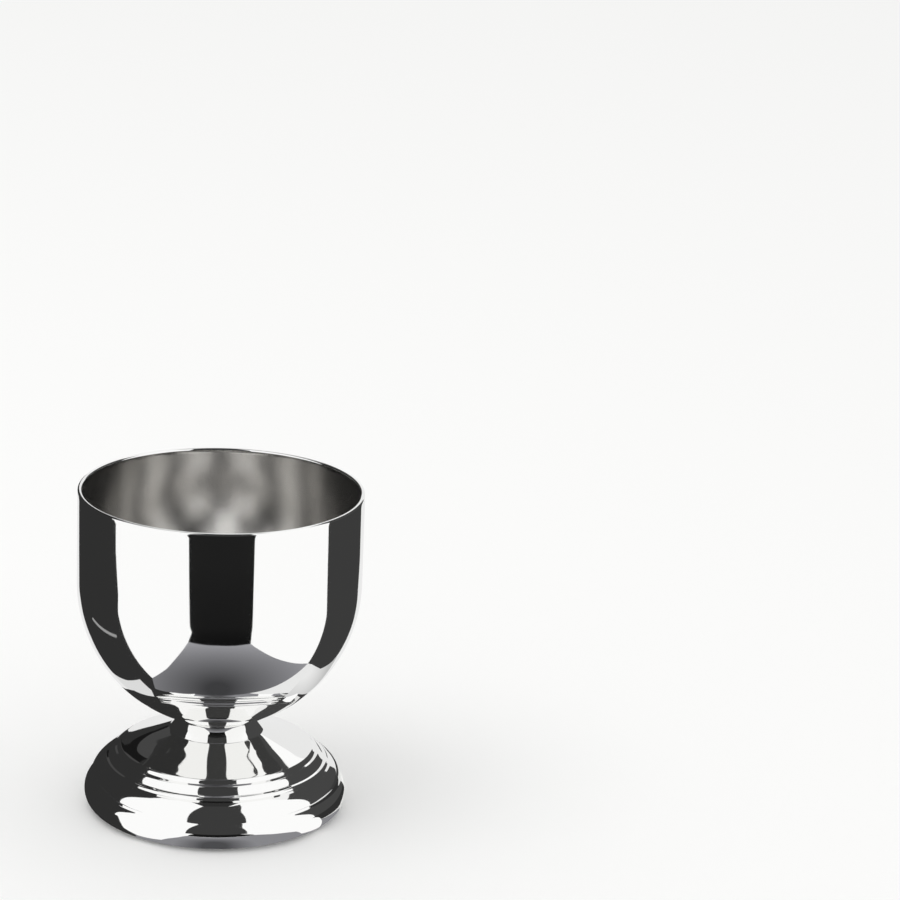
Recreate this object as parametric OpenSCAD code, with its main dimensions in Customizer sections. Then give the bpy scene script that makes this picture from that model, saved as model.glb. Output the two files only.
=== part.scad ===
// Footed egg cup in polished stainless sheet: a deep-drawn bowl welded to a hollow pressed foot.
// Everything is turned about the Z axis. The foot rests on the plane z = 0.

/* [Sheet and overall size] */
// Height from the table to the top of the rim
overall_h = 54; // [48:0.5:70]
// Outside diameter of the bowl and its rim
rim_d = 46; // [44:0.5:56]
// Thickness of the steel sheet that both shells are pressed from
sheet_t = 0.7; // [0.5:0.05:0.9]

/* [Round bottom of the bowl] */
// How much smaller the ball of the bowl's bottom is than the bowl, in radius
bottom_tuck = 0.6; // [0.4:0.1:2]
// How much larger the bend from the bottom into the wall is than the bowl, in radius
shoulder_ease = 1.2; // [1:0.1:4]

/* [Seat between bowl and foot] */
// Height of the seat, where the bowl's pad lies on the foot's crown
seat_h = 15.5; // [14.5:0.1:20]
// Radius of the flat pad pressed into the bottom of the bowl
pad_r = 5.3; // [4.7:0.1:7]
// Width of the slope between the pad's edge and the round bottom of the bowl
pad_blend = 1.05; // [0.8:0.05:1.6]
// How far the foot's crown stands out past the bowl's pad
crown_lip = 0.6; // [0.3:0.05:0.7]

/* [Flare of the foot] */
// Bend radius where the crown turns down into the neck
crown_bend = 0.9; // [0.75:0.05:1.1]
// How far the neck spreads from the crown's edge down to where it would meet the flare
neck_spread = 1.75; // [1:0.05:2.4]
// How far below the seat the neck would meet the flare
neck_drop = 2.35; // [2.1:0.05:3.2]
// Bend radius from the neck into the flare
waist_bend = 0.5; // [0.3:0.1:2]
// Outward run of the skirt, the flattest part of the flare, just above the steps
skirt_run = 3.35; // [2.5:0.05:4]
// Drop across the skirt
skirt_drop = 0.85; // [0.5:0.05:1.1]
// How far from their corner, on both sides, the flare bends into the skirt
skirt_blend = 1.9; // [0.5:0.1:2.2]

/* [Steps pressed into the foot] */
// Outward run of the first riser
riser_1_run = 0.45; // [0.3:0.05:0.8]
// Drop of the first riser
riser_1_drop = 0.6; // [0.4:0.05:0.9]
// Outward run of the first tread
tread_1_run = 0.5; // [0.4:0.05:0.9]
// Drop across the first tread
tread_1_drop = 0.2; // [0.05:0.05:0.3]
// Outward run of the second riser
riser_2_run = 0.9; // [0.6:0.05:1.2]
// Drop of the second riser
riser_2_drop = 1.15; // [0.8:0.05:1.4]
// Outward run of the second tread
tread_2_run = 0.5; // [0.4:0.05:0.9]
// Drop across the second tread
tread_2_drop = 0.15; // [0.05:0.05:0.3]
// Outward run of the third riser
riser_3_run = 0.3; // [0.2:0.05:0.6]
// Drop of the third riser
riser_3_drop = 0.4; // [0.3:0.05:0.7]
// Outward run of the third tread
tread_3_run = 0.4; // [0.4:0.05:0.8]
// Drop across the third tread
tread_3_drop = 0.2; // [0.05:0.05:0.3]
// Radius that rounds the outer edge of each step
step_edge = 0.5; // [0.2:0.05:0.6]
// Radius in the root of each step
step_root = 0.25; // [0.1:0.05:0.3]

/* [Beads and base of the foot] */
// Largest radius of the foot
foot_r = 21.5; // [20.5:0.1:26]
// How far inside the largest radius the upper bead starts
bead_root_inset = 2.75; // [2.6:0.05:3.2]
// Height where the upper bead starts, below the last step
bead_root_h = 7.5; // [7.2:0.05:7.8]
// How far inside the largest radius the two slopes of the upper bead would meet
upper_bead_inset = 1.3; // [1.1:0.05:1.5]
// Height where the two slopes of the upper bead would meet
upper_bead_h = 6.3; // [6.1:0.05:6.5]
// Rounding of the upper bead
upper_bead_bend = 3.8; // [1.5:0.1:3.9]
// How far inside the largest radius the groove between the two beads lies
groove_inset = 0.95; // [0.8:0.05:1.1]
// Height of the groove
groove_h = 4.7; // [4.6:0.05:5]
// Height where the base bead's upper slope would meet its upright side
shoulder_h = 3.8; // [3.65:0.05:4]
// Bend radius of the base bead, above and below its widest place
base_bend = 2.5; // [1.8:0.05:2.6]
// Width of the flat ring turned in under the foot, which rests on the table
hem_w = 1.4; // [0.8:0.1:2.5]

/* [Welds] */
// Number of weld nuggets in the seat
nugget_count = 3; // [1:1:6]
// Diameter of a nugget at the faces it joins
nugget_d = 2.2; // [1.4:0.1:2.4]
// How far inside the pad's edge the nuggets end
nugget_margin = 1.3; // [1:0.1:1.6]

/* [Hidden] */
$fn = 96;
// Largest turn, in degrees, between two neighbouring points of a round stretch
curve_step = 9;
// Largest distance between two neighbouring points of a round stretch
curve_chord = 0.8;
// Number of flats round the half circle that closes a sheet's edge
edge_steps = 12;
// Share of the sheet that a nugget reaches into on each side of the seat
nugget_depth_share = 0.6;
// Width of a nugget's ends as a share of its middle
nugget_end_share = 0.65;
// Share of the pad's blend that its bend takes up
pad_bend_share = 0.5;
bowl_r = rim_d / 2;
crown_r = pad_r + crown_lip;
nugget_ring_r = pad_r - nugget_margin - nugget_d / 2;
hem_r = foot_r - base_bend - hem_w;
// The bottom is a ball centred on the axis, and a wider bend leads from it into the upright wall
ball_r = bowl_r - bottom_tuck;
shoulder_bend = bowl_r + shoulder_ease;
// Slopes of the bottom where it meets the pad's blend, and where the ball meets the wider bend
floor_angle = asin((pad_r + pad_blend) / ball_r);
join_angle = asin(shoulder_ease / (shoulder_ease + bottom_tuck));
ball_h = seat_h + pad_blend * tan(floor_angle) + ball_r * cos(floor_angle);
shoulder_bend_h = ball_h + (shoulder_bend - ball_r) * cos(join_angle);
pad_bend = pad_bend_share * pad_blend / cos(floor_angle) / tan(floor_angle / 2);

// Corners of the bowl's outside, from the axis outwards and up, and the bend at each
bowl_corners = [
    [0, seat_h],
    [pad_r, seat_h],
    [0, ball_h] + ball_r / cos((join_angle - floor_angle) / 2)
        * [sin((join_angle + floor_angle) / 2), -cos((join_angle + floor_angle) / 2)],
    [bowl_r, shoulder_bend_h - shoulder_bend * tan((90 - join_angle) / 2)],
    [bowl_r, overall_h - sheet_t / 2]
];
bowl_bends = [0, pad_bend, ball_r, shoulder_bend, 0];

// Corners of the foot's outside, worked out from its largest radius inwards and up the steps
function climb(from, run, drop) = from + [-run, drop];
bead_root = [foot_r - bead_root_inset, bead_root_h];
step_3_foot = climb(bead_root, tread_3_run, tread_3_drop);
step_3_top = climb(step_3_foot, riser_3_run, riser_3_drop);
step_2_foot = climb(step_3_top, tread_2_run, tread_2_drop);
step_2_top = climb(step_2_foot, riser_2_run, riser_2_drop);
step_1_foot = climb(step_2_top, tread_1_run, tread_1_drop);
step_1_top = climb(step_1_foot, riser_1_run, riser_1_drop);
skirt_top = climb(step_1_top, skirt_run, skirt_drop);
neck_foot = [crown_r + neck_spread, seat_h - neck_drop];

// The bend that starts at the distance blend from corner b of the line a, b, c
function bend_of(blend, a, b, c) = blend * tan(acos(unit(a - b) * unit(c - b)) / 2);
skirt_bend = bend_of(skirt_blend, neck_foot, skirt_top, step_1_top);

// The same corners in order, from the crown down the flare and steps to the turned-in hem
foot_corners = [
    [0, seat_h],
    [crown_r, seat_h],
    neck_foot,
    skirt_top,
    step_1_top,
    step_1_foot,
    step_2_top,
    step_2_foot,
    step_3_top,
    step_3_foot,
    bead_root,
    [foot_r - upper_bead_inset, upper_bead_h],
    [foot_r - groove_inset, groove_h],
    [foot_r, shoulder_h],
    [foot_r, 0],
    [hem_r, 0]
];
foot_bends = [
    0, crown_bend, waist_bend, skirt_bend, step_edge, step_root, step_edge, step_root,
    step_edge, step_root, step_root, upper_bead_bend, step_root, base_bend, base_bend, 0
];

function unit(v) = v / norm(v);
function direction(pts, i) = unit(pts[min(i, len(pts) - 2) + 1] - pts[min(i, len(pts) - 2)]);
function turn_at(pts, i) = sign(cross(direction(pts, max(i - 1, 0)), direction(pts, i)));
function normal(pts, i) = let (d = direction(pts, i)) [-d[1], d[0]];

// The same corners moved to the left of their path by gap, or to its right where gap is negative
function moved(pts, gap) = [
    for (i = [0 : len(pts) - 1])
        let (before = normal(pts, max(i - 1, 0)), after = normal(pts, i))
            pts[i] + (before + after) * gap / (1 + before * after)
];
function moved_bends(pts, bends, gap) = [
    for (i = [0 : len(pts) - 1]) max(0, bends[i] - gap * turn_at(pts, i))
];

// Points of a true arc of radius bend in place of corner i
function bent(pts, i, bend) =
    let (
        back = unit(pts[i - 1] - pts[i]),
        on = unit(pts[i + 1] - pts[i]),
        half = acos(back * on) / 2,
        centre = pts[i] + unit(back + on) * bend / sin(half),
        first = pts[i] + back * bend / tan(half) - centre,
        sweep = (180 - 2 * half) * turn_at(pts, i),
        arc_length = bend * abs(sweep) * PI / 180,
        steps = max(ceil(abs(sweep) / curve_step), ceil(arc_length / curve_chord)),
        start = atan2(first[1], first[0])
    )
    [for (k = [0 : steps]) centre + bend * [cos(start + sweep * k / steps), sin(start + sweep * k / steps)]];
function line_with_bends(pts, bends) = [
    pts[0],
    for (i = [1 : len(pts) - 2]) each (bends[i] > 0 ? bent(pts, i, bends[i]) : [pts[i]]),
    pts[len(pts) - 1]
];

// Half circle that closes the sheet's edge between its two faces, p and q
function sheet_edge(p, q, way) = [
    for (k = [1 : edge_steps - 1])
        let (a = 180 * k / edge_steps)
            (p + q) / 2 + (p - q) / 2 * cos(a) + way * norm(p - q) / 2 * sin(a)
];
function reversed(pts) = [for (i = [len(pts) - 1 : -1 : 0]) pts[i]];

// A pressed shell of even thickness: its outside line, its round edge, then its inside line
module pressed_shell(corners, bends, gap, edge_way) {
    inner = moved(corners, gap);
    outer_line = line_with_bends(corners, bends);
    inner_line = line_with_bends(inner, moved_bends(corners, bends, gap));
    last = len(corners) - 1;
    rotate_extrude()
        polygon(concat(
            outer_line,
            sheet_edge(corners[last], inner[last], edge_way),
            reversed(inner_line)
        ));
}

// One nugget of melted and set metal, widest at the two faces that it joins
module nugget() {
    dip = sheet_t * nugget_depth_share;
    end_r = nugget_d / 2 * nugget_end_share;
    rotate_extrude()
        polygon([[0, -dip], [end_r, -dip], [nugget_d / 2, 0], [end_r, dip], [0, dip]]);
}

module nuggets() {
    for (i = [0 : nugget_count - 1])
        rotate(i * 360 / nugget_count)
            translate([nugget_ring_r, 0, seat_h])
                nugget();
}

// Deep-drawn bowl: upright wall, round bottom, flat pad and a rounded rim
module bowl() {
    color("silver")
        difference() {
            pressed_shell(bowl_corners, bowl_bends, sheet_t, [0, 1]);
            nuggets();
        }
}

// Hollow pressed foot: flat crown, neck, flare, three steps, two beads and a turned-in hem
module foot() {
    color("lightsteelblue")
        difference() {
            pressed_shell(foot_corners, foot_bends, -sheet_t, [-1, 0]);
            nuggets();
        }
}

// Spot welds that join the bowl's pad to the foot's crown
module weld_nuggets() {
    color("dimgray")
        nuggets();
}

bowl();
foot();
weld_nuggets();
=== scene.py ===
# %% [markdown]
# # A footed egg cup in mirror-polished stainless steel
#
# The real cup is two shells pressed from thin sheet: a deep-drawn bowl, and a hollow foot with three small
# steps and two beads. Three spot welds join them at a flat seat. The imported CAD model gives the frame: it
# fixes every size and place. This script draws both shells again as fine turned meshes, because a mirror
# shows every facet, and then polishes them and lights them.

# %% Load the frame
import math

import bpy
from mathutils import Matrix, Vector


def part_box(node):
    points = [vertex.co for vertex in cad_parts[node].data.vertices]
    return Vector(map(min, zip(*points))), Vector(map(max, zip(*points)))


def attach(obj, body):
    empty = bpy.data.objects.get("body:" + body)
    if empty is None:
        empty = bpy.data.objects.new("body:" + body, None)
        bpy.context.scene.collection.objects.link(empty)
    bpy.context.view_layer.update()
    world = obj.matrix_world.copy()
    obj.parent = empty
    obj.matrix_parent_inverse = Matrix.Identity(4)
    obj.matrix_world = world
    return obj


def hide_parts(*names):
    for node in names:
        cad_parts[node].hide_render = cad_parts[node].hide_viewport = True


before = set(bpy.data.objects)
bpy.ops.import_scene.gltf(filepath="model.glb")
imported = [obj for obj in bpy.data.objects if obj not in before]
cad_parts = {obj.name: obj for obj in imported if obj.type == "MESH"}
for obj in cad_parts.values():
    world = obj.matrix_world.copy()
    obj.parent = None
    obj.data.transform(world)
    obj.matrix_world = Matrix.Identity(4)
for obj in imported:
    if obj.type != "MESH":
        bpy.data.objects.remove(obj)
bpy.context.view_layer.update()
MM = 0.001


def millimetres(corner):
    """A corner in metres as a list of millimetres, for printing."""
    return [round(value / MM, 2) for value in corner]


print("nodes:", sorted(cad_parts))

# %% [markdown]
# ## Sizes
#
# What the frame holds is read from it: the height, the rim, the seat and the width of the foot. The rest
# are the sizes of the press tools, in millimetres: the sheet, the bends, and each step and bead.

# %% Sizes read from the frame
bowl_low, bowl_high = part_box("bowl")
foot_low, foot_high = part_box("foot")
overall_h = bowl_high[2] / MM
bowl_r = bowl_high[0] / MM
seat_h = foot_high[2] / MM
foot_r = foot_high[0] / MM
print(f"height {overall_h:.2f}, rim {2 * bowl_r:.2f}, seat at {seat_h:.2f}, foot {2 * foot_r:.2f} mm")

# %% Sizes of the bowl's press tools
sheet_t = 0.7
bottom_tuck = 0.6
shoulder_ease = 1.2
pad_r = 5.3
pad_blend = 1.05
pad_bend_share = 0.5
print(f"bowl: {sheet_t} mm sheet, flat pad {2 * pad_r} mm across, bottom {bottom_tuck} mm in from the wall")

# %% Sizes of the foot's press tools
crown_lip, crown_bend = 0.6, 0.9
neck_spread, neck_drop, waist_bend = 1.75, 2.35, 0.5
skirt_run, skirt_drop, skirt_blend = 3.35, 0.85, 1.9
STEPS = [
    {"riser": (0.45, 0.6), "tread": (0.5, 0.2)},
    {"riser": (0.9, 1.15), "tread": (0.5, 0.15)},
    {"riser": (0.3, 0.4), "tread": (0.4, 0.2)},
]
step_edge, step_root = 0.5, 0.25
bead_root_inset, bead_root_h = 2.75, 7.5
upper_bead_inset, upper_bead_h, upper_bead_bend = 1.3, 6.3, 3.8
groove_inset, groove_h = 0.95, 4.7
shoulder_h, base_bend, hem_w = 3.8, 2.5, 1.4
steps_fall = sum(part[1] for step in STEPS for part in step.values())
print(f"foot: {len(STEPS)} steps that fall {steps_fall:.2f} mm in all, hem {hem_w} mm wide")

# %% [markdown]
# ## The line of a pressed sheet
#
# A press tool's section is a few corners with a bend at each. The inside of the sheet is the same line
# moved by the sheet's thickness, and its bends grow or shrink by that thickness. So one list of corners
# gives both faces, and the wall is even all over, as in the real sheet. A Solidify modifier would give a
# wall too, but it has no true arcs on the second face, and it would leave the sheet's edge square.


# %% Corners and bends of both shells
def bowl_line():
    """Corners of the bowl's outside, from the axis out and up, each with its bend."""
    ball_r, shoulder_bend = bowl_r - bottom_tuck, bowl_r + shoulder_ease
    floor_angle = math.asin((pad_r + pad_blend) / ball_r)
    join_angle = math.asin(shoulder_ease / (shoulder_ease + bottom_tuck))
    ball_h = seat_h + pad_blend * math.tan(floor_angle) + ball_r * math.cos(floor_angle)
    bend_h = ball_h + (shoulder_bend - ball_r) * math.cos(join_angle)
    middle, half = (join_angle + floor_angle) / 2, (join_angle - floor_angle) / 2
    reach = ball_r / math.cos(half)
    pad_bend = pad_bend_share * pad_blend / math.cos(floor_angle) / math.tan(floor_angle / 2)
    wall_foot_h = bend_h - shoulder_bend * math.tan((math.pi / 2 - join_angle) / 2)
    return [
        ((0, seat_h), 0),
        ((pad_r, seat_h), pad_bend),
        ((reach * math.sin(middle), ball_h - reach * math.cos(middle)), ball_r),
        ((bowl_r, wall_foot_h), shoulder_bend),
        ((bowl_r, overall_h - sheet_t / 2), 0),
    ]


def foot_line():
    """Corners of the foot's outside, from the axis out over the steps and beads to the hem."""
    crown_r = pad_r + crown_lip
    at = [foot_r - bead_root_inset, bead_root_h]
    climb = [(tuple(at), step_root)]
    for step in reversed(STEPS):
        for part, bend in (("tread", step_root), ("riser", step_edge)):
            run, drop = step[part]
            at = [at[0] - run, at[1] + drop]
            climb.append((tuple(at), bend))
    neck_foot = Vector((crown_r + neck_spread, seat_h - neck_drop))
    skirt_top = Vector((at[0] - skirt_run, at[1] + skirt_drop))
    skirt_bend = skirt_blend * math.tan((neck_foot - skirt_top).angle(Vector(at) - skirt_top) / 2)
    return [
        ((0, seat_h), 0),
        ((crown_r, seat_h), crown_bend),
        (tuple(neck_foot), waist_bend),
        (tuple(skirt_top), skirt_bend),
        *reversed(climb),
        ((foot_r - upper_bead_inset, upper_bead_h), upper_bead_bend),
        ((foot_r - groove_inset, groove_h), step_root),
        ((foot_r, shoulder_h), base_bend),
        ((foot_r, 0), base_bend),
        ((foot_r - base_bend - hem_w, 0), 0),
    ]


for name, line in (("bowl", bowl_line()), ("foot", foot_line())):
    print(name, len(line), "corners, widest", max(round(corner[0], 2) for corner, bend in line), "mm")


# %% The inside of the sheet
def left_of(corners, i):
    """Unit vector to the left of the stretch that starts at corner i."""
    i = min(max(i, 0), len(corners) - 2)
    along = (corners[i + 1] - corners[i]).normalized()
    return Vector((-along.y, along.x))


def other_face(line, gap):
    """The line moved to its left by gap, or to its right where gap is negative, with bends to match."""
    corners = [Vector(corner) for corner, bend in line]
    moved = []
    for i, (corner, bend) in enumerate(line):
        before, after = left_of(corners, i - 1), left_of(corners, i)
        turn = math.copysign(1, before.x * after.y - before.y * after.x)
        place = corners[i] + (before + after) * gap / (1 + before.dot(after))
        moved.append((tuple(place), max(0, bend - gap * turn) if bend else 0))
    return moved


inner_wall = other_face(bowl_line(), sheet_t)[-1][0]
print(f"the bowl is {2 * inner_wall[0]:.2f} mm wide inside")

# %% [markdown]
# ## Drawing with a pen of one vertex
#
# A plane is added and merged to a single vertex, which then works as a pen in edit mode. Extrude draws
# the straight stretches, and Spin draws each bend as a true arc. A bevel on a vertex would be quicker,
# but its curve isn't quite round, and a mirror shows that. Straight stretches are drawn in short
# lengths, so that smooth shading can't smear a bend over the flat beside it.

# %% Pen
LONGEST_EDGE = 0.5
LARGEST_TURN = math.radians(8)
START_SIZE = 2
ROUND_OFF = 1e-6
print(f"edges: up to {LONGEST_EDGE} mm long, and {math.degrees(LARGEST_TURN):.0f} degrees of a bend")


def pen_down(name, at):
    """Starts a new mesh with one vertex at a place (radius, height), in millimetres."""
    bpy.ops.object.select_all(action="DESELECT")
    bpy.ops.mesh.primitive_plane_add(size=START_SIZE * MM)
    piece = bpy.context.object
    piece.name = piece.data.name = name
    bpy.ops.object.mode_set(mode="EDIT")
    bpy.ops.mesh.select_all(action="SELECT")
    bpy.ops.mesh.merge(type="CENTER")
    bpy.ops.transform.translate(value=(at[0] * MM, 0, at[1] * MM))
    return piece, Vector(at)


def draw_straight(at, to):
    """Draws a straight stretch from the pen's place to another one."""
    step = Vector(to) - at
    count = math.ceil(step.length / LONGEST_EDGE - ROUND_OFF)
    for _ in range(count):
        move = (step.x / count * MM, 0, step.y / count * MM)
        bpy.ops.mesh.extrude_region_move(TRANSFORM_OT_translate={"value": move})
    return Vector(to)


def draw_arc(at, centre, sweep, edges=0):
    """Draws an arc about a centre. A positive sweep, in radians, runs anticlockwise seen from -Y."""
    length = (at - centre).length * abs(sweep)
    count = edges or max(math.ceil(abs(sweep) / LARGEST_TURN), math.ceil(length / LONGEST_EDGE))
    middle = (centre.x * MM, 0, centre.y * MM)
    bpy.ops.mesh.spin(steps=count, angle=sweep, center=middle, axis=(0, 1, 0))
    return centre + Matrix.Rotation(sweep, 2) @ (at - centre)


def draw_line(at, line):
    """Draws a whole line of corners and bends from the pen's place at its first corner."""
    corners = [Vector(corner) for corner, bend in line]
    for i in range(1, len(line) - 1):
        bend = line[i][1]
        if not bend:
            at = draw_straight(at, corners[i])
            continue
        back = (corners[i - 1] - corners[i]).normalized()
        on = (corners[i + 1] - corners[i]).normalized()
        half = back.angle(on) / 2
        centre = corners[i] + (back + on).normalized() * bend / math.sin(half)
        turn = math.copysign(1, on.x * back.y - on.y * back.x)
        at = draw_straight(at, corners[i] + back * bend / math.tan(half))
        at = draw_arc(at, centre, turn * (math.pi - 2 * half))
    return draw_straight(at, corners[-1])


# %% [markdown]
# ## Turning the section into a shell
#
# The closed section runs along the outside, round the sheet's edge in a half circle, and back along
# the inside. Spin turns it once about Z. A Screw modifier would do the same, but the seam and the two
# poles have to be merged anyway, and that needs a finished mesh. Merging closes the shell, and its
# normals are then made to point out of the metal on both faces. There are many turns, because a mirror
# shows each flat between two of them.

# %% Turn a shell
TURN_STEPS = 256
EDGE_STEPS = 12
MERGE_WITHIN = 0.002
SMOOTH_UNDER = math.radians(30)
print("a full turn has", TURN_STEPS, "steps, and the sheet's edge", EDGE_STEPS)


def turned_shell(name, line, gap, edge_turn):
    """A closed pressed shell from its outside line, its sheet thickness and the turn of its edge."""
    inside = other_face(line, gap)
    piece, at = pen_down(name, line[0][0])
    at = draw_line(at, line)
    middle = (Vector(line[-1][0]) + Vector(inside[-1][0])) / 2
    at = draw_arc(at, middle, edge_turn * math.pi, EDGE_STEPS)
    draw_line(at, inside[::-1])
    bpy.ops.mesh.select_all(action="SELECT")
    bpy.ops.mesh.spin(steps=TURN_STEPS, angle=2 * math.pi, center=(0, 0, 0), axis=(0, 0, 1))
    bpy.ops.mesh.select_all(action="SELECT")
    bpy.ops.mesh.remove_doubles(threshold=MERGE_WITHIN * MM)
    bpy.ops.mesh.normals_make_consistent(inside=False)
    bpy.ops.object.mode_set(mode="OBJECT")
    bpy.ops.object.shade_smooth_by_angle(angle=SMOOTH_UNDER)
    return piece


def report(piece):
    """Prints a piece's size, triangles and open edges."""
    mesh = piece.data
    uses = [0] * len(mesh.edges)
    for loop in mesh.loops:
        uses[loop.edge_index] += 1
    mesh.calc_loop_triangles()
    low = [min(v.co[i] for v in mesh.vertices) for i in range(3)]
    high = [max(v.co[i] for v in mesh.vertices) for i in range(3)]
    print(piece.name, millimetres(low), millimetres(high), "mm,", len(mesh.loop_triangles),
          "triangles,", sum(use != 2 for use in uses), "open edges")


# %% [markdown]
# ## Bowl
#
# The bowl is one deep-drawn shell. Its bottom is part of a ball, and a wider bend leads from the ball
# into the upright wall. A small flat pad in the middle lies on the foot. The rim is the sheet's own
# edge, tumbled round, so it ends in a half circle and not in a rolled bead. Half a sphere under a
# cylinder would look alike from afar, but their join would show as a kink in every reflection.

# %% Make the bowl
bowl = turned_shell("bowl_shell", bowl_line(), gap=sheet_t, edge_turn=1)
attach(bowl, "root")
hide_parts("bowl")
report(bowl)

# %% [markdown]
# ## Foot
#
# The foot is one pressed shell: a flat crown under the bowl, a narrow neck, a concave flare, three
# small steps and two round beads. Its edge is turned in under the lower bead and gives the ring that
# the cup rests on. It is open underneath, as pressed feet are. The steps and beads could be rings laid
# on a plain cone, but the real ones are bends in the one sheet, and so they are here.

# %% Make the foot
foot = turned_shell("foot_shell", foot_line(), gap=-sheet_t, edge_turn=-1)
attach(foot, "root")
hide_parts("foot")
report(foot)

# %% [markdown]
# ## Colours and nodes
#
# Colours are written as hex values, as a paint chart gives them, and one function turns them to the
# linear values that Blender mixes. One more function adds a shader node with its settings and links.
# Nodes could be placed by hand in the editor, but in code every number of a finish can be read.


# %% Colour and node helpers
def colour(code):
    """A linear colour from an sRGB hex code."""
    parts = [int(code[i:i + 2], 16) / 255 for i in (0, 2, 4)]
    linear = [p / 12.92 if p <= 0.04045 else ((p + 0.055) / 1.055) ** 2.4 for p in parts]
    return (*linear, 1)


POLISHED_TINT = "F9F9F8"
print("polished steel reflects", [round(part, 3) for part in colour(POLISHED_TINT)[:3]])


def new_material(name):
    """An empty material that uses nodes."""
    material = bpy.data.materials.new(name)
    material.use_nodes = True
    material.node_tree.nodes.clear()
    return material


def add(material, kind, settings=None, values=None, links=None):
    """Adds a node, with its settings, its inputs' own values and its inputs' links."""
    tree = material.node_tree
    made = tree.nodes.new(kind)
    for name, setting in (settings or {}).items():
        setattr(made, name, setting)
    for name, value in (values or {}).items():
        made.inputs[name].default_value = value
    for name, source in (links or {}).items():
        tree.links.new(source, made.inputs[name])
    return made


# %% [markdown]
# ## Mirror-polished stainless steel
#
# The cup is 18/10 stainless steel. After pressing it is ground and buffed on a wheel while it spins, so
# what is left of the finish are very fine lines that run round the axis. They blur a reflection a
# little, and mostly up and down. The sheet itself keeps a faint waviness from the press, which makes
# the edges of a reflection run slightly unevenly. The Anisotropic input could blur along one direction
# too, but it knows no waviness, so both are drawn as height. Real buffing lines are a few hundredths of
# a millimetre apart. That is too fine to show in the picture, so they are drawn coarser.

# %% Polished steel
BUFF_LINE = 0.12
BUFF_DEPTH = 0.00004
WAVE_LENGTH = 7.0
WAVE_DEPTH = 0.0035
SMEAR_SIZE = 9.0
SMOOTHEST, ROUGHEST = 0.025, 0.055
NOISE_LOW, NOISE_HIGH = 0.3, 0.7


def polished_steel(name, tint):
    """Buffed stainless steel with lines round the axis, faint waviness and uneven gloss."""
    steel = new_material(name)
    place = add(steel, "ShaderNodeTexCoord").outputs["Object"]
    split = add(steel, "ShaderNodeSeparateXYZ", links={"Vector": place})
    flat = add(steel, "ShaderNodeCombineXYZ",
               links={"X": split.outputs["X"], "Y": split.outputs["Y"]})
    radius = add(steel, "ShaderNodeVectorMath", {"operation": "LENGTH"}, links={0: flat.outputs[0]})
    ring = add(steel, "ShaderNodeCombineXYZ",
               links={"X": radius.outputs["Value"], "Z": split.outputs["Z"]})
    lines = add(steel, "ShaderNodeTexNoise", {"noise_dimensions": "3D"},
                {"Scale": 1 / (BUFF_LINE * MM), "Detail": 2.0, "Roughness": 0.6},
                {"Vector": ring.outputs[0]})
    waves = add(steel, "ShaderNodeTexNoise", None,
                {"Scale": 1 / (WAVE_LENGTH * MM), "Detail": 1.0, "Roughness": 0.4}, {"Vector": place})
    smears = add(steel, "ShaderNodeTexNoise", None,
                 {"Scale": 1 / (SMEAR_SIZE * MM), "Detail": 3.0, "Roughness": 0.55}, {"Vector": place})
    gloss = add(steel, "ShaderNodeMapRange", None,
                {"From Min": NOISE_LOW, "From Max": NOISE_HIGH, "To Min": SMOOTHEST, "To Max": ROUGHEST},
                {"Value": smears.outputs["Fac"]})
    swell = add(steel, "ShaderNodeBump", None, {"Strength": 1.0, "Distance": WAVE_DEPTH * MM},
                {"Height": waves.outputs["Fac"]})
    buffed = add(steel, "ShaderNodeBump", None, {"Strength": 1.0, "Distance": BUFF_DEPTH * MM},
                 {"Height": lines.outputs["Fac"], "Normal": swell.outputs["Normal"]})
    metal = add(steel, "ShaderNodeBsdfPrincipled", None,
                {"Base Color": colour(tint), "Metallic": 1.0},
                {"Roughness": gloss.outputs["Result"], "Normal": buffed.outputs["Normal"]})
    add(steel, "ShaderNodeOutputMaterial", links={"Surface": metal.outputs["BSDF"]})
    return steel


polished = polished_steel("mirror_polished_stainless_steel", POLISHED_TINT)
for piece in (bowl, foot):
    piece.data.materials.clear()
    piece.data.materials.append(polished)
print("polished:", bowl.name, foot.name)

# %% [markdown]
# ## Duller steel on the inner faces
#
# Nobody buffs the inside of a foot. It keeps the mill finish of the sheet: a fine dull grain, a little
# darker. The bowl's inside gets a satin finish, because a mirror there would show every scratch of a
# spoon. Both shells could be split into an inner and an outer mesh, but a second material slot keeps
# each one closed. Its faces are found by their normals, which point towards the axis, or down in the
# foot and up in the bowl. The real grain is finer than 0.3 mm and is drawn coarser, so that it shows.

# %% Mill and satin finish
GRAIN_SIZE = 0.3
LEAST_LEAN = 0.02


def grained_steel(name, tint, smoothest, roughest, depth):
    """Stainless sheet with a fine even grain, not buffed."""
    steel = new_material(name)
    place = add(steel, "ShaderNodeTexCoord").outputs["Object"]
    grain = add(steel, "ShaderNodeTexNoise", None,
                {"Scale": 1 / (GRAIN_SIZE * MM), "Detail": 4.0, "Roughness": 0.6}, {"Vector": place})
    gloss = add(steel, "ShaderNodeMapRange", None,
                {"From Min": NOISE_LOW, "From Max": NOISE_HIGH, "To Min": smoothest, "To Max": roughest},
                {"Value": grain.outputs["Fac"]})
    rough = add(steel, "ShaderNodeBump", None, {"Strength": 1.0, "Distance": depth * MM},
                {"Height": grain.outputs["Fac"]})
    metal = add(steel, "ShaderNodeBsdfPrincipled", None,
                {"Base Color": colour(tint), "Metallic": 1.0},
                {"Roughness": gloss.outputs["Result"], "Normal": rough.outputs["Normal"]})
    add(steel, "ShaderNodeOutputMaterial", links={"Surface": metal.outputs["BSDF"]})
    return steel


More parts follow.
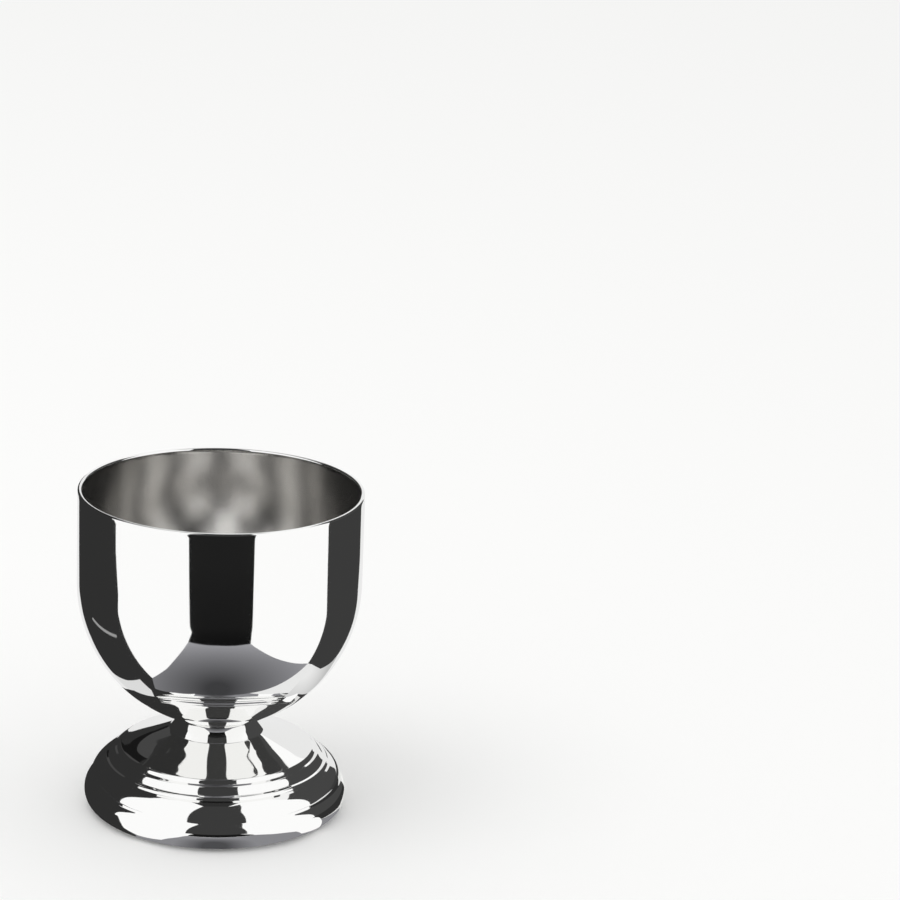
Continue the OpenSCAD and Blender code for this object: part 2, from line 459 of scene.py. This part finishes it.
def line_inside(piece, steel, up, lowest, highest):
    """Puts a steel on the inner faces between two heights. The inside faces up (1) or down (-1)."""
    piece.data.materials.append(steel)
    count = 0
    for face in piece.data.polygons:
        outward = Vector((face.center.x, face.center.y, 0)).normalized()
        height = face.center.z / MM
        level = face.normal.z * up > LEAST_LEAN and lowest < height < highest
        if level or face.normal.dot(outward) < -LEAST_LEAN and height < highest:
            face.material_index = 1
            count += 1
    print(steel.name, "on", count, "faces of", piece.name)


mill_finish = grained_steel("mill_finish_stainless_steel", "C9C7C3",
                            smoothest=0.22, roughest=0.34, depth=0.0012)
satin_finish = grained_steel("satin_stainless_steel", "ECEBE9",
                             smoothest=0.14, roughest=0.2, depth=0.0003)
line_inside(foot, mill_finish, up=-1, lowest=shoulder_h, highest=seat_h)
line_inside(bowl, satin_finish, up=1, lowest=seat_h, highest=overall_h - sheet_t)

# %% [markdown]
# ## Weld metal
#
# The three nuggets are steel that melted and set between the sheets. They are sealed in the seat, so
# they could be left as they come. They keep their CAD solids and get a finish all the same, for when
# the cup is taken apart. Fused metal is grey and uneven, with a thin heat tint.

# %% Weld metal
WELD_GRAIN = 0.4


def weld_metal(name):
    """Fused and set steel, grey with a faint straw tint."""
    metal = new_material(name)
    place = add(metal, "ShaderNodeTexCoord").outputs["Object"]
    grain = add(metal, "ShaderNodeTexNoise", None,
                {"Scale": 1 / (WELD_GRAIN * MM), "Detail": 5.0}, {"Vector": place})
    tint = add(metal, "ShaderNodeMix", {"data_type": "RGBA"}, links={"Factor": grain.outputs["Fac"]})
    tint.inputs["A"].default_value = colour("6E6C6A")
    tint.inputs["B"].default_value = colour("8C8272")
    body = add(metal, "ShaderNodeBsdfPrincipled", None, {"Metallic": 1.0, "Roughness": 0.45},
               {"Base Color": tint.outputs["Result"]})
    add(metal, "ShaderNodeOutputMaterial", links={"Surface": body.outputs["BSDF"]})
    return metal


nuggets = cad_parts["weld_nuggets"]
fused = weld_metal("fused_weld_metal")
for slot in nuggets.material_slots:
    slot.material = fused
print("weld metal on", nuggets.name)

# %% [markdown]
# ## Camera
#
# The camera stands about half a metre from the cup, above it and turned a little to one side, so that
# the cup stands low in the left of the picture. The lens could be wide and the camera near, but a long
# lens keeps the verticals nearly straight, as in a catalogue picture.

# %% Camera
CAMERA_AWAY = 505.2
CAMERA_HEIGHT = 215.1
CAMERA_YAW = 4.12
CAMERA_PITCH = 16.89
CAMERA_ROLL = 2.38
LENS = 132
SEEN_FROM, SEEN_TO = 0.01, 10

bpy.ops.object.camera_add(location=(0, -CAMERA_AWAY * MM, CAMERA_HEIGHT * MM))
camera = bpy.context.object
aim = Matrix.Rotation(math.radians(-CAMERA_YAW), 4, "Z")
aim @= Matrix.Rotation(math.radians(90 - CAMERA_PITCH), 4, "X")
aim @= Matrix.Rotation(math.radians(CAMERA_ROLL), 4, "Z")
camera.rotation_euler = aim.to_euler()
camera.data.lens = LENS
camera.data.clip_start, camera.data.clip_end = SEEN_FROM, SEEN_TO
bpy.context.scene.camera = camera
print("camera", CAMERA_AWAY, "mm away, lens", LENS, "mm")

# %% [markdown]
# ## Floor and light
#
# The floor is plain, pale and quite matt, so that it shows the cup's shadow and nothing else. A white
# world gives an even, soft light, and one wide lamp above makes the shadow. More lamps would make it
# brighter, but pale things would then lose their tone. The lamp is kept out of reflections, because the
# steel gets its own cards.

# %% Floor
FLOOR_SIZE = 6.0
floor_paint = new_material("pale_matt_floor")
paint = add(floor_paint, "ShaderNodeBsdfPrincipled", None,
            {"Base Color": colour("F9F9F8"), "Roughness": 1.0, "Specular IOR Level": 0.0})
add(floor_paint, "ShaderNodeOutputMaterial", links={"Surface": paint.outputs["BSDF"]})
bpy.ops.object.select_all(action="DESELECT")
bpy.ops.mesh.primitive_plane_add(size=FLOOR_SIZE)
floor = bpy.context.object
floor.name = "floor"
floor.data.materials.append(floor_paint)
print("floor", FLOOR_SIZE, "m")

# %% World and lamp
WORLD_GLOW = 0.93
LAMP_PLACE = (-0.45, -0.25, 0.9)
LAMP_SIZE, LAMP_WATTS = 0.7, 1.5

world = bpy.data.worlds.new("soft_white")
bpy.context.scene.world = world
world.use_nodes = True
background = world.node_tree.nodes["Background"]
background.inputs["Color"].default_value = colour("FFFFFF")
background.inputs["Strength"].default_value = WORLD_GLOW
bpy.ops.object.light_add(type="AREA", location=LAMP_PLACE)
lamp = bpy.context.object
lamp.rotation_euler = (-lamp.location).to_track_quat("-Z", "Y").to_euler()
lamp.data.shape = "DISK"
lamp.data.size, lamp.data.energy = LAMP_SIZE, LAMP_WATTS
lamp.visible_glossy = False
bpy.context.scene.view_settings.view_transform = "Standard"
print("lamp", round(lamp.location.length, 2), "m away")

# %% [markdown]
# ## Studio cards
#
# Polished steel has hardly a colour of its own: it shows what stands round it. A photographer sets white
# and dark cards round such a piece, out of the picture, and that is done here. An environment picture
# could stand in for the whole room, but a card can be moved by itself until one edge on the steel is
# right. Each card glows with its own tone on the side that faces the bowl, and is clear from behind.
# The cards are left out of the camera's view, and neither light nor shade the floor by themselves.

# %% Card tones
TONES = {
    "white": 1.02,
    "soft": 0.845,
    "pale": 0.74,
    "mist": 0.33,
    "slate": 0.06,
    "dim": 0.045,
    "dark": 0.03,
    "ink": 0.009,
}
# A shade has a centre, a near and a far distance from it, each with its tone, and a tint.
SHADES = {
    # Darker near the cup's foot: a painted shadow of the cup on the table, which the bowl reflects.
    "table_glow_and_painted_shadow": ((0, -26, 5), (4, 0.052), (46, 0.36), "F8F8FF"),
    # Darker right at the foot: a painted shadow of the foot on the table, which the base reflects.
    "near_glow_and_painted_shadow": ((0, -21, 0), (2, 0.08), (7, 0.27), "F8F8FF"),
    "far_deck": ((0, 0, 5), (75, 0.006), (150, 0.014), "FFFFFF"),
    "pale_fade": ((22, -13, 19.5), (3, 0.85), (13, 0.54), "FFFFFF"),
}


def card_paint(name, tone, tint="FFFFFF"):
    """A glowing material. Its tone is a number, or a shade: a centre, and two distances with tones."""
    made = new_material("card_" + name)
    glow = add(made, "ShaderNodeEmission", None, {"Color": colour(tint)})
    if isinstance(tone, tuple):
        centre, (near, near_tone), (far, far_tone) = tone
        place = add(made, "ShaderNodeTexCoord").outputs["Object"]
        away = add(made, "ShaderNodeVectorMath", {"operation": "DISTANCE"},
                   {1: Vector(centre) * MM}, {0: place})
        fade = add(made, "ShaderNodeMapRange", None,
                   {"From Min": near * MM, "From Max": far * MM, "To Min": near_tone, "To Max": far_tone},
                   {"Value": away.outputs["Value"]})
        made.node_tree.links.new(fade.outputs["Result"], glow.inputs["Strength"])
    else:
        glow.inputs["Strength"].default_value = tone
    clear = add(made, "ShaderNodeBsdfTransparent")
    side = add(made, "ShaderNodeNewGeometry").outputs["Backfacing"]
    both = add(made, "ShaderNodeMixShader", links={0: side, 1: glow.outputs[0], 2: clear.outputs[0]})
    add(made, "ShaderNodeOutputMaterial", links={"Surface": both.outputs[0]})
    return made


paints = {name: card_paint(name, tone) for name, tone in TONES.items()}
for name, (*shade, tint) in SHADES.items():
    paints[name] = card_paint(name, tuple(shade), tint)
print("card tones:", sorted(paints))

# %% Card shapes
FACED = Vector((0, 0, 30 * MM))
print("cards face", millimetres(FACED), "mm, in the middle of the bowl")


def card(name, tone, corners):
    """A flat card seen only in reflections, from its corners in millimetres. It faces the bowl."""
    bpy.ops.object.select_all(action="DESELECT")
    bpy.ops.mesh.primitive_circle_add(vertices=len(corners), fill_type="NGON")
    made = bpy.context.object
    made.name = "card_" + name
    for vertex, corner in zip(made.data.vertices, corners):
        vertex.co = Vector(corner) * MM
    made.data.update()
    if made.data.polygons[0].normal.dot(FACED - made.data.vertices[0].co) < 0:
        made.data.flip_normals()
    made.data.materials.append(paints[tone])
    made.visible_camera = made.visible_diffuse = made.visible_shadow = False


def on_level(points, height):
    """Corners of a level card from points (x, y) and a height."""
    return [(x, y, height) for x, y in points]


def bearing(azimuth, away):
    """The point (x, y) at a distance, and at an azimuth in degrees from -Y towards +X."""
    turn = math.radians(azimuth)
    return (math.sin(turn) * away, -math.cos(turn) * away)


def on_wall(points, start, end, away):
    """Corners of a patch, from (azimuth, elevation) pairs, on the flat wall between two azimuths."""
    corners = []
    for azimuth, elevation in points:
        reach = away * math.cos(math.radians(end - start) / 2)
        reach /= math.cos(math.radians(azimuth - (start + end) / 2))
        corners.append((*bearing(azimuth, reach), reach * math.tan(math.radians(elevation))))
    return corners


# %% [markdown]
# ### Upright cards
#
# The bowl's wall is a tall curved mirror that looks all round the room. Two white cards give it its two
# bright fields, the dark one between them gives the stripe, and dark ones further round give its dark
# edges. They could stand near the cup, but far away their edges run straight down the bowl. Three
# patches hang just in front of them. One makes the front card lean to the right at its top, and two
# make a dim leaf with a darker border, which the flare shows at its left.

# %% Upright cards
WALL_AWAY = 600
WALL_H = 1900
FLAG_H = 660
BACK_H = 346
# Each wall has its tone, the two azimuths that it stands between, and the heights of its two edges.
WALLS = {
    "left_white": ("white", -92, -24, 0, WALL_H),
    "front_dark": ("dim", -24, 27, 0, WALL_H),
    "right_white": ("white", 27, 92, 0, WALL_H),
    "right_dark": ("slate", 92, 150, 0, FLAG_H),
    "left_dark": ("dark", -140, -92, 0, WALL_H),
    "far_left_dark": ("dark", -169, -140, 0, FLAG_H),
    "back_soft": ("soft", 150, 191, 0, BACK_H),
    "back_white": ("white", 150, 191, BACK_H, WALL_H),
}
for name, (tone, start, end, low, high) in WALLS.items():
    (x0, y0), (x1, y1) = bearing(start, WALL_AWAY), bearing(end, WALL_AWAY)
    card(name, tone, [(x0, y0, low), (x1, y1, low), (x1, y1, high), (x0, y0, high)])
print("upright cards:", len(WALLS))

# %% Patches on the walls, and a ceiling
PATCH_AWAY = 590
PATCHES = {
    "lean": ("dim", "right_white", [(27, 40), (29.5, 50), (34, 58), (40, 64), (52, 72), (27, 72)]),
    "leaf": ("slate", "far_left_dark", [(-161, 14), (-158.5, 14), (-152, 34), (-156, 38), (-161.5, 38),
                                        (-162.3, 30), (-161.5, 22)]),
    "leaf_border": ("ink", "far_left_dark", [(-163.5, 12), (-161, 14), (-161.5, 22), (-162.3, 30),
                                             (-161.5, 38), (-164.5, 35), (-165.5, 28), (-165, 20)]),
}
for name, (tone, wall, points) in PATCHES.items():
    start, end = WALLS[wall][1:3]
    card(name, tone, on_wall(points, start, end, PATCH_AWAY))
CEILING = 550
ceiling_corners = [(-CEILING, -CEILING), (CEILING, -CEILING), (CEILING, CEILING), (-CEILING, CEILING)]
card("ceiling", "dark", on_level(ceiling_corners, WALL_H))
print("patches:", len(PATCHES), "and a ceiling")

# %% [markdown]
# ### Cards just above the table
#
# The beads and the round base look down at the table close by. White cards at both sides carry on from
# the white walls, with a black one between them for the stripe, and dark ones further round. Right in
# front of the foot lies a card that glows more the further it is from the foot. Its dark part next to
# the foot is a painted shadow of the foot on the table. The base shows it as the soft grey band at its
# bottom. One painted floor could carry all this, but the camera would see it.

# %% Cards just above the table
TABLE_H = 0.3
LAYER = 0.1
FAR = 590
TABLE = {
    "white_left": ("white", [(-16, -15.3), (-12.6, -16.9), (-9, -19.6), (-7.8, -24), (-8, -30), (-60, -200),
                             (-200, -FAR), (-FAR, -FAR), (-FAR, -15), (-21, -15)]),
    "white_right": ("white", [(13, -30), (13.5, -23), (14.8, -19.5), (15.4, -17.4), (14.5, -15.5),
                              (17, -11.5), (FAR, -12), (FAR, -FAR), (240, -FAR), (75, -200)]),
    "black_front": ("ink", [(-8, -30), (-60, -200), (-200, -FAR), (240, -FAR), (75, -200), (13, -30)]),
    "dark_left": ("dark", [(-18, -4), (-12.6, -15.5), (-12.8, -16.5), (-16, -15.3), (-FAR, -15),
                           (-FAR, FAR), (-110, FAR), (-15, 16), (-20, 8), (-21.8, 0)]),
    "dark_right": ("dark", [(22, -11.5), (FAR, -12), (FAR, FAR), (350, FAR), (60, 70), (30, 14), (27, 4),
                            (23, -4)]),
}
for name, (tone, points) in TABLE.items():
    card("table_" + name, tone, on_level(points, TABLE_H))
TABLE_FRONT = [(-22, -4), (-22, -30), (22, -30), (22, -4)]
# Darker right at the foot: a painted shadow of the foot on the table.
card("table_front", "near_glow_and_painted_shadow", on_level(TABLE_FRONT, TABLE_H - LAYER))
print("table cards:", len(TABLE) + 1)

# %% [markdown]
# ### Cards on a low deck
#
# The bowl looks down too, past the foot, and needs other tones on the table than the beads do. So it
# gets a set of its own on a deck a little higher up, which the base doesn't see, because from below a
# card is clear. The front card is the grey table that the bowl shows under the stripe. It is darker
# near the foot, as a painted shadow of the cup on the table. The one beyond it is the stripe. A thin
# streak gives the short light line on the bowl's left. A white patch higher up fills the flare's right
# white field, which sees it by way of the bowl's underside.

# %% Cards on a low deck
DECK_H = 5.0
PATCH_H = 2 * DECK_H
DECK = {
    "white_left": ("white", [(-25, -17), (-24, -30), (-25, -55), (-26, -67), (-31, -90), (-92, -200),
                             (-262, -FAR), (-FAR, -FAR), (-FAR, 20), (-200, -8), (-145, -12), (-120, -19),
                             (-90, -19)]),
    "white_right": ("white", [(39, -10), (36, -22), (32, -38), (28, -58), (27, -65), (39, -90), (97, -200),
                              (300, -FAR), (FAR, -FAR), (FAR, 20), (200, 0), (150, -2)]),
    # The front card is darker near the foot: a painted shadow of the cup on the table.
    "front": ("table_glow_and_painted_shadow", [(-20.5, -12), (-25, -17), (-24, -30), (-25, -55), (-26, -67), (0, -68),
                             (27, -65), (28, -58), (32, -38), (36, -22), (39, -10), (11, -20.5), (6, -21.6),
                             (0, -22.3), (-8, -21), (-14, -17.5)]),
    "black": ("far_deck", [(-26, -67), (-31, -90), (-92, -200), (-262, -FAR), (300, -FAR), (97, -200),
                           (39, -90), (27, -65), (0, -68)]),
    "dark_left": ("dark", [(-20.5, -12), (-25, -17), (-90, -19), (-120, -19), (-145, -12), (-200, -8),
                           (-FAR, 20), (-FAR, FAR), (-110, FAR), (-14, 17.5), (-19.5, 12), (-22, 5),
                           (-22.3, 0), (-21, -8)]),
    "dark_right": ("dim", [(21.8, -5), (38.3, -5), (39, -10), (150, -2), (200, 0), (FAR, 20), (FAR, FAR),
                           (350, FAR), (135, 200), (73, 97), (60, 69), (43, 38), (38, 28), (36.5, 22),
                           (13, 20), (20, 12), (22.3, 0)]),
    "pale_right": ("soft", [(39, -10), (38.3, -5), (21.8, -5), (20, -10), (16, -15.5), (11, -20.5)]),
    "back": ("soft", [(-110, FAR), (350, FAR), (135, 200), (73, 97), (60, 69), (43, 38), (38, 28),
                      (36.5, 22), (13, 20), (7, 21.3), (0, 22.4), (-8, 21), (-14, 17.5)]),
}
for name, (tone, points) in DECK.items():
    card("deck_" + name, tone, on_level(points, DECK_H))
STREAK = [(-70, 30), (-66.5, 30), (-59, -8), (-62.5, -9)]
PATCH = [(16, -6.3), (23, -6.3), (22.3, -0.2), (20, -0.8), (16.4, 0.6), (16, -3)]
card("deck_streak", "mist", on_level(STREAK, DECK_H + LAYER))
card("deck_patch", "white", on_level(PATCH, PATCH_H))
print("deck cards:", len(DECK) + 2)

# %% [markdown]
# ### Cards on a level above the foot
#
# The foot hides the table from the bowl's lower half, and the bowl sees pale cards beside it instead.
# On the deck they would also show in the flare, by way of the bowl's underside. So they lie on a level
# higher than the foot, where the flare looks at them from below, and there they are clear.

# %% Cards on a level above the foot
SHELF_H = 19.5
SHELF = {
    "pale_left": ("pale", [(-12, -13), (-13.5, -14), (-17.5, -13.5), (-18.5, -8), (-20.5, -1), (-16, -5.5),
                           (-15.5, -8), (-14.5, -9.5)]),
    "pale_right": ("pale_fade", [(12.5, -12.5), (25, -12), (23.5, -5.5), (25, 1), (26.5, 6), (17.5, -1),
                                 (15.5, -4), (15, -9.5)]),
    "back": ("soft", [(-16, -5.5), (-20.5, -1), (-30, 12), (-42, 35), (-78, 150), (80, 150), (50, 42),
                      (30, 14), (26.5, 6), (17.5, -1), (15.5, -4), (16, 5), (11, 13), (0, 17), (-11, 13),
                      (-16, 5)]),
}
for name, (tone, points) in SHELF.items():
    card("shelf_" + name, tone, on_level(points, SHELF_H))
print("shelf cards:", len(SHELF))
